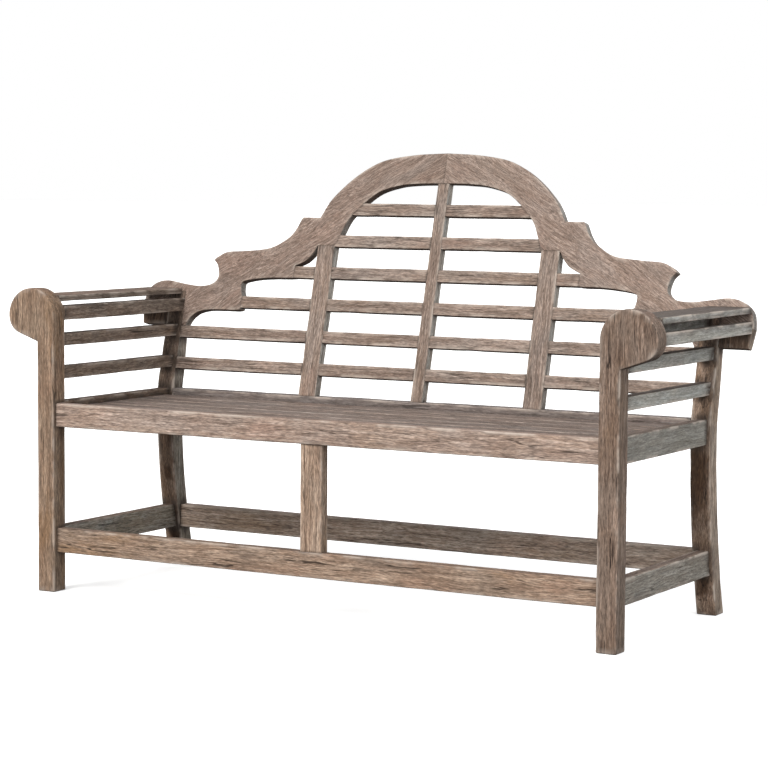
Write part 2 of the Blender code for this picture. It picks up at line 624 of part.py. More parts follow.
def add_back():
    """Crest halves, stiles and the slats between them; returns the crest halves."""
    crests = {hand: add_crest(hand) for hand in SIDES}
    rooms = dict(add_crest_room())
    stiles = {hand: add_stile("back_stile_" + hand, side * STILE_X, STILE_WIDTH, STILE_TOP,
                              STILE_TENON_WIDTH, CROWN_TENON_LENGTH, [crests[hand]])
              for hand, side in SIDES.items()}
    centre = add_stile("back_stile_centre", 0.0, CENTRE_STILE_WIDTH, ARCH_CROWN - GAP,
                       CENTRE_TENON_WIDTH, CROWN_TENON_LENGTH, list(crests.values()))

    half = CENTRE_STILE_WIDTH / 2
    middle_root = (half + ROOT, half - SLAT_TENON_LENGTH, [centre])
    inner = (half + GAP, STILE_IN - GAP)
    outer = (STILE_OUT + GAP, LEG_IN - GAP)
    crest_tenons = {3: across(ROW_3_END), 4: across(ROW_4_END)}
    arch_roots = {5: (across(ROW_5_ROOT), STILE_X - STILE_TENON_WIDTH / 2 - WALL),
                  6: (across(ROW_6_ROOT), across(ROW_6_END))}
    for hand, side in SIDES.items():
        crest = crests[hand]
        stile = stiles[hand]
        to_stile = (STILE_IN - ROOT, STILE_IN + SLAT_TENON_LENGTH, [stile])
        from_stile = (STILE_OUT + ROOT, STILE_OUT - SLAT_TENON_LENGTH, [stile])
        for row in range(1, 7):
            name = "back_slat_inner_{}_{}".format(row, hand)
            if row in arch_roots:
                end = (*arch_roots[row], [crest])
                add_back_slat(name, side, row, inner, rooms[hand], [middle_root, end])
            else:
                add_back_slat(name, side, row, inner, None, [middle_root, to_stile])
        for row in range(1, 5):
            name = "back_slat_outer_{}_{}".format(row, hand)
            if row in crest_tenons:
                face = crest_tenons[row]
                end = (face - ROOT, face + SLAT_TENON_LENGTH, [crest])
                span = (STILE_OUT + GAP, face + SLAT_TENON_LENGTH)
                add_back_slat(name, side, row, span, rooms[hand], [from_stile, end])
            else:
                end = (LEG_IN - ROOT, SLAT_END_IN_LEG, [REAR_LEGS[hand]])
                add_back_slat(name, side, row, outer, None, [from_stile, end])
    return crests


def add_crest_spline(crests):
    """Loose tongue that holds the two halves of the crest together."""
    ys = (BOARD_THICKNESS / 2 - TENON_THICKNESS / 2, BOARD_THICKNESS / 2 + TENON_THICKNESS / 2)
    zs = (CROWN - SPLINE_DEPTH - SPLINE_HEIGHT, CROWN - SPLINE_DEPTH)
    spline = box("crest_spline", (-SPLINE_REACH, SPLINE_REACH), ys, zs, BACK)
    finish(spline, HIDDEN_COLOUR)
    room = [(pair[0] - GAP, pair[1] + GAP) for pair in ((-SPLINE_REACH, SPLINE_REACH), ys, zs)]
    groove = box("crest_spline_groove", *room, BACK, GUIDES)
    as_guide(groove)
    for crest in crests.values():
        combine(crest, groove, "DIFFERENCE")


CRESTS = add_back()
add_crest_spline(CRESTS)


# ---------------------------------------------------------------- arms

def add_arm_block(hand):
    """Block outside the rear leg, under the crest's wing, that the arm runs back to."""
    side = SIDES[hand]
    inner = LEG_OUT + GAP
    top = WING_SEAT - GAP
    outline = [Vector((inner, BLOCK_BOTTOM)), Vector((WING_END - BLOCK_SLANT, BLOCK_BOTTOM)),
               Vector((WING_END, top)), Vector((inner, top))]
    block = board("arm_block_" + hand, mirrored(outline, side), BOARD_THICKNESS, FACING_FRONT,
                  (0.0, BOARD_THICKNESS / 2, 0.0), BACK)
    ys = (BOARD_THICKNESS / 2 - TENON_THICKNESS / 2, BOARD_THICKNESS / 2 + TENON_THICKNESS / 2)
    heights = (BLOCK_BOTTOM + 2 * TENON_SHOULDER, top - 2 * TENON_SHOULDER)
    tenon(block, [REAR_LEGS[hand]], (side * (LEG_OUT - SLAT_TENON_LENGTH), side * (inner + ROOT)),
          ys, heights, BACK)
    middle = (LEG_OUT + OUTER_SLAT_OUT - OUTER_SLAT_WIDTH) / 2
    xs = (side * (middle - CENTRE_TENON_WIDTH / 2), side * (middle + CENTRE_TENON_WIDTH / 2))
    tenon(block, [CRESTS[hand]], xs, ys, (top - ROOT, top + SLAT_TENON_LENGTH), BACK)
    finish(block, ARM_COLOUR)
    return block


def add_arm_member(name, hand, xs, zs, tenon_xs, tenon_zs, rear_hosts, rear_xs, rear_zs):
    """A member of the arm from the roll to the raked back, tenoned into both."""
    side = SIDES[hand]
    far = BACK_Y + math.tan(RAKE) * (zs[1] - SEAT_HEIGHT) + BOARD_THICKNESS
    member = box(name, (side * xs[0], side * xs[1]), (LEG_BACK_Y + GAP, far), zs)
    combine(member, BACK_ROOM, "DIFFERENCE")
    tenon(member, [FRONT_LEGS[hand]], (side * tenon_xs[0], side * tenon_xs[1]),
          (LEG_BACK_Y - ARM_TENON_LENGTH, LEG_BACK_Y + ROOT), tenon_zs)
    face = BACK_Y + math.tan(RAKE) * (rear_zs[0] - SEAT_HEIGHT)
    tenon(member, rear_hosts, (side * rear_xs[0], side * rear_xs[1]),
          (face - ROOT, face + ARM_TENON_LENGTH), rear_zs)
    finish(member, ARM_COLOUR)


def add_arm(hand):
    """Top board, outer slat and inner slat of one arm."""
    block = add_arm_block(hand)
    wing = [CRESTS[hand], block, REAR_LEGS[hand]]
    half = ROLL_RADIUS - ARM_BOARD_INSET
    low = ROLL_HEIGHT + ARM_BOARD_RISE
    tongue = (low + WALL, low + ARM_BOARD_THICKNESS - WALL)
    add_arm_member("arm_board_" + hand, hand, (ROLL_X - half, ROLL_X + half),
                   (low, low + ARM_BOARD_THICKNESS),
                   (ROLL_X - half + 2 * TENON_SHOULDER, ROLL_X + half - 2 * TENON_SHOULDER),
                   tongue, wing, (LEG_OUT + 2 * TENON_SHOULDER, ROLL_X + half - 2 * TENON_SHOULDER),
                   tongue)

    inset = (OUTER_SLAT_WIDTH - ARM_SLAT_TENON_THICKNESS) / 2
    xs = (OUTER_SLAT_OUT - OUTER_SLAT_WIDTH, OUTER_SLAT_OUT)
    tongue_xs = (xs[0] + inset, xs[1] - inset)
    low = ROLL_HEIGHT - OUTER_SLAT_DROP
    top = low + OUTER_SLAT_HEIGHT
    add_arm_member("arm_slat_outer_" + hand, hand, xs, (low, top), tongue_xs,
                   (low + TENON_SHOULDER, top - TENON_SHOULDER), wing, tongue_xs,
                   (ROLL_HEIGHT + WALL, top - TENON_SHOULDER))

    inset = (INNER_SLAT_WIDTH - ARM_SLAT_TENON_THICKNESS) / 2
    xs = (INNER_SLAT_IN, INNER_SLAT_IN + INNER_SLAT_WIDTH)
    tongue_xs = (xs[0] + inset, xs[1] - inset)
    low = ROLL_HEIGHT - INNER_SLAT_DROP
    top = low + INNER_SLAT_HEIGHT
    tongue = (low + TENON_SHOULDER, top - TENON_SHOULDER)
    add_arm_member("arm_slat_inner_" + hand, hand, xs, (low, top), tongue_xs, tongue,
                   wing, tongue_xs, tongue)


BACK_ROOM = box("back_room", (-WING_END - BOARD_THICKNESS, WING_END + BOARD_THICKNESS),
                (-GAP, 4 * BOARD_THICKNESS), (-SEAT_HEIGHT / 2, CROWN), BACK, GUIDES)
as_guide(BACK_ROOM)
for hand in SIDES:
    add_arm(hand)
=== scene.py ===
"""Looks of the garden bench: every member as a board of weathered teak, in a white studio.

Metres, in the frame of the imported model: X along the bench, -Y its front, Z up. Each member
is made again from its CAD node, with worn edges and an uneven surface, and it carries the
direction of its grain, its distance from an edge and its distance from a joint to the shader.
"""
import math
import random

import bmesh
import bpy
import numpy as np
from mathutils import Matrix, Vector, noise
from mathutils.bvhtree import BVHTree


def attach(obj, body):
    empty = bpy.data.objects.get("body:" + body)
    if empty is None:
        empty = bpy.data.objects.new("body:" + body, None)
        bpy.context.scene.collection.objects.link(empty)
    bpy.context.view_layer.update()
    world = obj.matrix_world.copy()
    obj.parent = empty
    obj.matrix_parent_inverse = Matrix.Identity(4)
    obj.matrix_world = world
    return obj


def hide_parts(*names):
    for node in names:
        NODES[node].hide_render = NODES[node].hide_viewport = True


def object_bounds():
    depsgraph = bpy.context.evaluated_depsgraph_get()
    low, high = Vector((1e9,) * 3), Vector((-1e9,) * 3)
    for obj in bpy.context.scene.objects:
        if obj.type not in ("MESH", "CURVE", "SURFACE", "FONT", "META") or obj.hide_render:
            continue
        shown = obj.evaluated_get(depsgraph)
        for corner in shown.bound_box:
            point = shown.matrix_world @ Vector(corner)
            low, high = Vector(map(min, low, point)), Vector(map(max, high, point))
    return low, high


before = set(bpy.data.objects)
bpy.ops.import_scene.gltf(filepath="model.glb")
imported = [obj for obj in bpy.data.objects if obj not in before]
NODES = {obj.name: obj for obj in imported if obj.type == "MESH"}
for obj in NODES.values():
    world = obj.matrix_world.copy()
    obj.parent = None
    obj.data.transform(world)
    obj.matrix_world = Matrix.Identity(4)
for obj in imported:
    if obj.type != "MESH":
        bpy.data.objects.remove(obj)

CAD_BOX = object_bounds()

# Shape of the weathered wood
WELD = 0.00001               # corners of a node's mesh that are one corner
FLAT = math.radians(0.8)     # faces that are one face
EDGE_ANGLE = math.radians(40)
SMOOTH_ANGLE = math.radians(32)
CONTACT = 0.0010             # a point this near another member is inside a joint
EDGE_SAMPLES = (0.05, 0.2, 0.35, 0.5, 0.65, 0.8, 0.95)
ROUND_STEPS = 3
ROUND_PROFILE = 0.5
FAR = 1.0                    # stands for any distance too great for wear to reach
JOINT_REACH = 0.045          # how far from a joint its dirt and painted shade spread
EDGE_REACH = 0.0045          # how far from an edge its wear fades
TIP_REACH = 0.070            # how far in from its outer tips the crest is more worn
SKY_START = 0.004            # where the search for the sky starts, above the surface
SKY_TILTS = (0.35, 0.80)     # of its rays, from the zenith
SKY_TURN = 0.3               # of the first ray on each ring
SKY_STEP = math.pi / 3       # from one ray on a ring to the next
SKY_REACH = 0.60             # what is further away hides nothing
SHELTER_SHADE_FADE = 0.060             # the wood is fully brown, with painted shade, from this far below the seat
GROUND_REACH = 0.035         # how far up damp and dirt climb from the floor
STEP_ALONG = 0.014           # size of the faces that the surface is cut into
STEP_ACROSS = 0.007
GRAIN_SHIFT = 50.0           # each member is cut from its own place in the wood
WAVE = 0.00045               # height of the broad unevenness
WAVE_SCALE = (3.0, 22.0, 22.0)
WAVE_FADE = 1.0
WAVE_STEP = 2.0
WAVE_OCTAVES = 3
RIPPLE = 0.00018             # height of the fine unevenness
RIPPLE_SCALE = (11.0, 75.0, 75.0)
CHIP = 0.0016                # how deep the edges are worn
CHIP_SCALE = (16.0, 9.0, 9.0)
CHIP_LEVEL = 0.12            # of its noise, above which an edge is chipped
SEED = 7

# Camera, fitted to the photograph's viewing angle
CAMERA_PLACE = (2.7897, -4.8369, 0.9685)
CAMERA_TURN = math.radians(29.943)
CAMERA_DIP = math.radians(4.801)
CAMERA_ROLL = math.radians(0.392)
CAMERA_LENS = 114.51
SENSOR = 36.0

CREST_GRAIN = math.radians(31)   # rise of the crest's grain towards the crown


# ---------------------------------------------------------------- members

def back_slope():
    """Direction up the back, from the widest face of its centre stile."""
    stile = NODES["back_stile_centre"].data
    face = max((p for p in stile.polygons if p.normal.y < -0.5), key=lambda p: p.area)
    normal = face.normal
    return Vector((0.0, normal.z, -normal.y)).normalized()


SLOPE = back_slope()
ALONG_X = Vector((1.0, 0.0, 0.0))
ALONG_Y = Vector((0.0, 1.0, 0.0))
ALONG_Z = Vector((0.0, 0.0, 1.0))


def sky_rays():
    """Directions towards the sky, on rings around the zenith."""
    rays = []
    for tilt in SKY_TILTS:
        for turn in np.arange(SKY_TURN, 2 * math.pi, SKY_STEP):
            rays.append(Vector((math.sin(tilt) * math.cos(turn),
                                math.sin(tilt) * math.sin(turn), math.cos(tilt))))
    return rays


SKY_RAYS = sky_rays()


def crest_grain(side):
    """Grain of a crest half: it rises towards the middle of the back."""
    return -side * ALONG_X * math.cos(CREST_GRAIN) + SLOPE * math.sin(CREST_GRAIN)


# Start of a node's name: material slot, look, grain, rounding of its edges
FAMILIES = {
    "front_leg": ("leg_teak", "leg", ALONG_Z, 0.0032),
    "rear_leg": ("leg_teak", "rear_leg", ALONG_Z, 0.0026),
    "centre_post": ("rail_teak", "post", ALONG_Z, 0.0024),
    "front_seat_rail": ("rail_teak", "front_rail", ALONG_X, 0.0028),
    "front_stretcher": ("rail_teak", "stretcher", ALONG_X, 0.0026),
    "rear_seat_rail": ("rail_teak", "rear_rail", ALONG_X, 0.0022),
    "rear_stretcher": ("rail_teak", "rear_stretcher", ALONG_X, 0.0024),
    "side_seat_rail": ("rail_teak", "seat_side", ALONG_Y, 0.0024),
    "side_stretcher": ("rail_teak", "low_side", ALONG_Y, 0.0024),
    "side_rail": ("arm_teak", "arm", ALONG_Y, 0.0020),
    "crest_left": ("crest_teak", "crest", crest_grain(-1), 0.0020),
    "crest_right": ("crest_teak", "crest", crest_grain(1), 0.0020),
    "crest_spline": ("hidden_teak", "hidden", ALONG_X, 0.0005),
    "back_stile": ("crest_teak", "back", SLOPE, 0.0015),
    "back_slat": ("back_slat_teak", "back", ALONG_X, 0.0015),
    "seat_slat": ("seat_slat_teak", "seat", ALONG_X, 0.0022),
    "seat_bearer": ("hidden_teak", "hidden", ALONG_Y, 0.0010),
    "seat_cleat": ("hidden_teak", "hidden", ALONG_Y, 0.0010),
    "arm_block": ("arm_teak", "arm_block", SLOPE, 0.0022),
    "arm_board": ("arm_teak", "arm", ALONG_Y, 0.0022),
    "arm_slat": ("arm_teak", "arm", ALONG_Y, 0.0020),
}

# Looks that differ between the two ends of the bench: partly the wood's own difference, partly
# painted light and shade, as the tints, flank and top of each end's copy suit how light falls
# there
SIDED = ("leg", "rear_leg", "arm", "seat_side", "low_side")


def family(name):
    """The slot, look, grain and edge rounding of a node, from the family it belongs to."""
    slot, look, along, rounding = next(
        row for start, row in FAMILIES.items() if name.startswith(start))
    if look in SIDED:
        look += "_left" if name.endswith("_left") else "_right"
    return slot, look, along, rounding


def grain_axes(along):
    """Rotation from the row frame to the grain's: along it, then across it twice."""
    helper = ALONG_Y if abs(along.y) < 0.9 else ALONG_X
    across = along.cross(helper).normalized()
    through = along.cross(across)
    return Matrix((along, across, through))


def tree_without(name):
    """A search tree over the surface of every member but one."""
    points = []
    faces = []
    for other, node in NODES.items():
        if other == name:
            continue
        first = len(points)
        points.extend(v.co.copy() for v in node.data.vertices)
        faces.extend([first + i for i in p.vertices] for p in node.data.polygons)
    return BVHTree.FromPolygons(points, faces)


WHOLE_BENCH = tree_without(None)
SEAT_BOTTOM = min(v.co.z for v in NODES["seat_slat_1"].data.vertices)


def shelter(place, normal):
    """Share of the sky above a place that the bench hides, from 0 to 1."""
    start = place + normal * SKY_START
    seen = [ray for ray in SKY_RAYS if ray.dot(normal) > 0.0]
    hidden = sum(WHOLE_BENCH.ray_cast(start, ray, SKY_REACH)[0] is not None for ray in seen)
    return hidden / len(seen) if seen else 1.0


def tip_share(x):
    """How near a place is to an outer tip of the crest: 1 from half the reach outwards."""
    inside = CAD_BOX[1][0] - abs(x)
    return min(1.0, max(0.0, 2.0 - 2.0 * inside / TIP_REACH))


def clean_shape(node):
    """The node's solid with its triangles joined into flat faces."""
    shape = bmesh.new()
    shape.from_mesh(node.data)
    bmesh.ops.remove_doubles(shape, verts=shape.verts, dist=WELD)
    bmesh.ops.dissolve_limit(shape, angle_limit=FLAT, verts=shape.verts, edges=shape.edges)
    bmesh.ops.recalc_face_normals(shape, faces=shape.faces)
    return shape


def free_edges(shape, others):
    """The sharp outer edges that wear: those that aren't inside a joint or along one."""
    chosen = []
    for edge in shape.edges:
        if not edge.is_manifold or not edge.is_convex:
            continue
        if edge.calc_face_angle() < EDGE_ANGLE:
            continue
        start, end = (vert.co for vert in edge.verts)
        places = [start.lerp(end, share) for share in EDGE_SAMPLES]
        touching = sum(others.find_nearest(place, CONTACT)[0] is not None for place in places)
        if 2 * touching < len(places):
            chosen.append(edge)
    return chosen


def slice_up(shape, axes):
    """Cut the faces into small ones, longest along the grain, so that the surface can bend."""
    for axis, step in zip(axes, (STEP_ALONG, STEP_ACROSS, STEP_ACROSS)):
        reach = [vert.co.dot(axis) for vert in shape.verts]
        count = int((max(reach) - min(reach)) / step)
        for number in range(1, count + 1):
            place = min(reach) + (max(reach) - min(reach)) * number / (count + 1)
            bmesh.ops.bisect_plane(shape, geom=[*shape.verts, *shape.edges, *shape.faces],
                                   dist=WELD, plane_co=axis * place, plane_no=axis)


def distances(points, segments):
    """Distance of each point from the nearest of the segments."""
    nearest = np.full(len(points), FAR)
    for start, end in segments:
        line = end - start
        share = ((points - start) @ line / max(line @ line, WELD ** 2)).clip(0.0, 1.0)
        gap = np.linalg.norm(points - start - share[:, None] * line, axis=1)
        nearest = np.minimum(nearest, gap)
    return nearest


def scaled(place, scale):
    """A place on the grain, stretched for a noise."""
    return Vector([a * b for a, b in zip(place, scale)])


def carry(mesh, name, kind, field, values):
    """Give the mesh's points a value that the shader reads."""
    layer = mesh.attributes.new(name, kind, "POINT")
    layer.data.foreach_set(field, np.asarray(values, np.float32).ravel())


def add_member(name, node, chance):
    """The weathered board that stands for a node."""
    slot, look, along, rounding = family(name)
    axes = grain_axes(along)
    others = tree_without(name)
    shape = clean_shape(node)
    edges = free_edges(shape, others)
    segments = [[np.array(vert.co) for vert in edge.verts] for edge in edges]
    bmesh.ops.bevel(shape, geom=edges, offset=rounding, offset_type="OFFSET",
                    segments=ROUND_STEPS, profile=ROUND_PROFILE, affect="EDGES",
                    clamp_overlap=False)
    slice_up(shape, axes)
    shape.normal_update()

    offset = Vector([chance.uniform(-GRAIN_SHIFT, GRAIN_SHIFT) for _ in range(3)])
    points = np.array([vert.co for vert in shape.verts])
    worn = np.exp(-(distances(points, segments) / EDGE_REACH) ** 2)
    joint = np.zeros(len(points))
    covered = np.zeros(len(points))
    for index, vert in enumerate(shape.verts):
        gap = others.find_nearest(vert.co, JOINT_REACH)[3]
        if gap is None:
            gap = JOINT_REACH
        tip = tip_share(vert.co.x) if look == "crest" else 0.0
        joint[index] = max(1.0 - gap / JOINT_REACH, tip)
        if gap < CONTACT:
            continue
        # Below the seat, the sky that the bench hides keeps the wood brown and is painted as
        # shade
        under = (SEAT_BOTTOM - vert.co.z) / SHELTER_SHADE_FADE
        covered[index] = shelter(vert.co, vert.normal) * min(1.0, max(0.0, under))
        place = axes @ vert.co + offset
        wave = WAVE * noise.fractal(scaled(place, WAVE_SCALE), WAVE_FADE, WAVE_STEP,
                                    WAVE_OCTAVES)
        ripple = RIPPLE * noise.noise(scaled(place, RIPPLE_SCALE))
        chip = max(0.0, noise.noise(scaled(place, CHIP_SCALE)) - CHIP_LEVEL)
        chip *= 1.0 + tip
        vert.co += vert.normal * (wave + ripple - CHIP * worn[index] * chip)

    mesh = bpy.data.meshes.new(name + "_wood")
    shape.to_mesh(mesh)
    shape.free()
    grain = (points @ np.array(axes).T + np.array(offset)).astype(np.float32)
    carry(mesh, "grain", "FLOAT_VECTOR", "vector", grain)
    carry(mesh, "worn", "FLOAT", "value", worn)
    carry(mesh, "joint", "FLOAT", "value", joint)
    carry(mesh, "covered", "FLOAT", "value", covered)
    ground = 1.0 - (points[:, 2] - CAD_BOX[0][2]) / GROUND_REACH
    carry(mesh, "ground", "FLOAT", "value", ground.clip(0.0, 1.0))
    carry(mesh, "tone", "FLOAT", "value", np.full(len(points), chance.uniform(-1.0, 1.0)))
    mesh.shade_smooth()
    mesh.set_sharp_from_angle(angle=SMOOTH_ANGLE)
    mesh.materials.append(MATERIALS[look])
    piece = bpy.data.objects.new(name + "_wood", mesh)
    bpy.context.scene.collection.objects.link(piece)
    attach(piece, "root")
    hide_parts(name)


# ---------------------------------------------------------------- wood

# Colours along a streak, from its dark to its pale part
STREAK = ((0.34, (0.100, 0.068, 0.050)), (0.44, (0.178, 0.126, 0.097)),
          (0.52, (0.262, 0.193, 0.151)), (0.62, (0.405, 0.318, 0.262)))
GREY = (0.265, 0.222, 0.190)
RED = (0.300, 0.190, 0.143)
HONEY = (0.240, 0.155, 0.092)
CALM = (0.240, 0.187, 0.152)
PORE = (0.075, 0.052, 0.040)
RIDGE = (0.105, 0.076, 0.060)
SMUDGE = (0.085, 0.070, 0.064)
CHECK = (0.036, 0.024, 0.018)
DIRT_AND_SHADE = (0.050, 0.036, 0.028)
RUBBED = (0.500, 0.425, 0.365)

# What multiplies the colour of a face to the side (grey-green weathering and painted cool light),
# above and below (painted shade), and of the brown wood under the seat (with painted shade)
SIDE_GREY_AND_COOL_LIGHT = (0.93, 1.14, 1.26)
TOP_SHADE = (0.90, 0.89, 0.92)
UNDER_SHADE = (0.30, 0.26, 0.24)
SHELTERED_BROWN_AND_SHADE = (0.22, 0.16, 0.11)

# Noises of the wood: scale along the grain and across it, detail, roughness, offset
NO_OFFSET = (0.0, 0.0, 0.0)
NOISES = {
    "broad": (3.0, 55.0, 4.0, 0.55, NO_OFFSET),
    "narrow": (9.0, 210.0, 5.0, 0.66, NO_OFFSET),
    "fleck": (70.0, 420.0, 3.0, 0.6, NO_OFFSET),
    "fine": (90.0, 1100.0, 2.0, 0.55, NO_OFFSET),
    "mottle": (38.0, 75.0, 4.0, 0.65, NO_OFFSET),
    "patch": (6.0, 14.0, 4.0, 0.6, (11.0, 3.0, 5.0)),
    "stain": (3.0, 9.0, 4.0, 0.65, (4.0, 13.0, 2.0)),
    "pore": (28.0, 330.0, 2.0, 0.5, (6.0, 1.0, 9.0)),
    "ridge": (6.0, 78.0, 4.0, 0.6, (8.0, 2.0, 6.0)),
    "check": (2.0, 42.0, 3.0, 0.6, (5.0, 9.0, 2.0)),
    "cracked": (7.0, 60.0, 2.0, 0.5, (1.0, 8.0, 4.0)),
    "cloud": (30.0, 60.0, 3.0, 0.55, NO_OFFSET),
    "rub": (14.0, 30.0, 3.0, 0.6, (2.0, 6.0, 7.0)),
}
DRIFT_SCALE = (3.5, 7.0, 7.0)    # of the noise that makes the grain wander
DRIFT_DETAIL = 2.0
DRIFT_GAIN = 4
SPECULAR = 0.28
BUMP_STRENGTH = 0.7
BUMP_HEIGHT = 0.0011


class Graph:
    """Builds the nodes of a material or a world; each input is given a link or a constant."""

    def __init__(self, owner):
        self.tree = owner.node_tree

    def add(self, kind, inputs=None, **settings):
        """A node with its inputs linked or set, and its settings."""
        node = self.tree.nodes.new(kind)
        for key, value in settings.items():
            setattr(node, key, value)
        for key, value in (inputs or {}).items():
            if isinstance(value, bpy.types.NodeSocket):
                self.tree.links.new(value, node.inputs[key])
            else:
                node.inputs[key].default_value = value
        return node

    def math(self, operation, *values):
        """A sum, product or other function of numbers."""
        inputs = dict(enumerate(values))
        return self.add("ShaderNodeMath", inputs, operation=operation).outputs[0]

    def attribute(self, name, output="Fac"):
        """A value that the mesh carries."""
        return self.add("ShaderNodeAttribute", attribute_name=name).outputs[output]

    def vector(self, operation, first, second):
        """A sum, difference or product of vectors."""
        return self.add("ShaderNodeVectorMath", {0: first, 1: second},
                        operation=operation).outputs[0]

    def stretch(self, vector, scale, offset=NO_OFFSET):
        """Coordinates scaled along each axis."""
        inputs = {"Vector": vector, "Scale": scale, "Location": offset}
        return self.add("ShaderNodeMapping", inputs).outputs[0]

    def noise(self, grain, name):
        """One of the noises of the wood, from 0 to 1 and around a half."""
        along, across, detail, roughness, offset = NOISES[name]
        inputs = {"Vector": self.stretch(grain, (along, across, across), offset), "Scale": 1.0,
                  "Detail": detail, "Roughness": roughness}
        return self.add("ShaderNodeTexNoise", inputs).outputs["Fac"]

    def from_half(self, value):
        """How far a noise is from a half."""
        return self.math("ABSOLUTE", self.math("SUBTRACT", value, 0.5))

    def weighed(self, *parts):
        """The sum of values, each times its weight."""
        total = None
        for value, weight in parts:
            part = self.math("MULTIPLY", value, weight)
            total = part if total is None else self.math("ADD", total, part)
        return total

    def span(self, value, low, high, start=0.0, end=1.0, smooth=True):
        """Value carried from low..high to start..end, and held outside it."""
        kind = "SMOOTHSTEP" if smooth else "LINEAR"
        inputs = {"Value": value, "From Min": low, "From Max": high,
                  "To Min": start, "To Max": end}
        return self.add("ShaderNodeMapRange", inputs, interpolation_type=kind).outputs[0]

    def mix(self, share, first, second, blend="MIX"):
        """Two colours mixed or multiplied, by a share of the second."""
        node = self.add("ShaderNodeMix", data_type="RGBA", blend_type=blend)
        for socket, value in ((node.inputs[0], share), (node.inputs[6], first),
                              (node.inputs[7], second)):
            if isinstance(value, bpy.types.NodeSocket):
                self.tree.links.new(value, socket)
            elif isinstance(value, tuple):
                socket.default_value = (*value, 1.0)
            else:
                socket.default_value = value
        return node.outputs[2]

    def ramp(self, value, stops):
        """A colour from a scale of colours."""
        node = self.add("ShaderNodeValToRGB", {"Fac": value})
        scale = node.color_ramp.elements
        while len(scale) < len(stops):
            scale.new(1.0)
        for element, (place, colour) in zip(scale, stops):
            element.position = place
            element.color = (*colour, 1.0)
        return node.outputs[0]


def wandering_grain(graph, swirl, fineness):
    """Coordinates along the grain and across it; the grain wanders by about swirl metres."""
    grain = graph.attribute("grain", "Vector")
    drift = graph.add("ShaderNodeTexNoise", {
        "Vector": graph.stretch(grain, DRIFT_SCALE), "Scale": 1.0, "Detail": DRIFT_DETAIL})
    drift = graph.vector("SUBTRACT", drift.outputs["Color"], (0.5, 0.5, 0.5))
    drift = graph.vector("MULTIPLY", drift, (0.0, swirl * DRIFT_GAIN, swirl * DRIFT_GAIN))
    grain = graph.vector("ADD", grain, drift)
    return graph.stretch(grain, (fineness, fineness, fineness))


def sound_wood(graph, grain, noises, calm, honey):
    """Colour of the grain, with its patches, pores, ridges, flecks and smudges."""
    streak = graph.weighed((noises["broad"], 0.26), (noises["narrow"], 0.56),
                           (noises["mottle"], 0.18), (graph.attribute("tone"), 0.016))
    colour = graph.ramp(graph.math("ADD", streak, 0.022), STREAK)

    patch = graph.noise(grain, "patch")
    stain = graph.noise(grain, "stain")
    colour = graph.mix(graph.span(patch, 0.47, 0.68, 0.0, 0.50), colour, GREY)
    colour = graph.mix(graph.span(patch, 0.47, 0.30, 0.0, 0.32), colour, RED)
    colour = graph.mix(graph.span(stain, 0.50, 0.64, 0.0, honey), colour, HONEY)
    colour = graph.mix(calm, colour, CALM)

    pore = graph.span(graph.noise(grain, "pore"), 0.58, 0.68, 0.0, 0.50 * (1.0 - 0.6 * calm))
    colour = graph.mix(pore, colour, PORE)
    ridge = graph.span(graph.from_half(graph.noise(grain, "ridge")), 0.050, 0.0)
    ridged = graph.span(noises["mottle"], 0.40, 0.60, 0.25, 0.72 * (1.0 - 0.5 * calm))
    colour = graph.mix(graph.math("MULTIPLY", ridge, ridged), colour, RIDGE)

    for value, reach in ((noises["fleck"], 0.40), (noises["fine"], 0.34)):
        reach *= 1.0 - 0.7 * calm
        shade = graph.span(value, 0.30, 0.70, 1.0 - reach, 1.0 + 0.94 * reach, False)
        shade = graph.add("ShaderNodeCombineColor", {"Red": shade, "Green": shade, "Blue": shade})
        colour = graph.mix(1.0, colour, shade.outputs[0], "MULTIPLY")
    return graph.mix(graph.span(stain, 0.40, 0.28, 0.0, 0.40), colour, SMUDGE)


def checks(graph, grain, cracks):
    """Where the wood is split: thin lines at which a stretched noise crosses a half."""
    line = graph.span(graph.from_half(graph.noise(grain, "check")), 0.018, 0.004)
    where = graph.span(graph.noise(grain, "cracked"), 0.50, 0.62, 0.0, cracks)
    return graph.math("MULTIPLY", line, where)


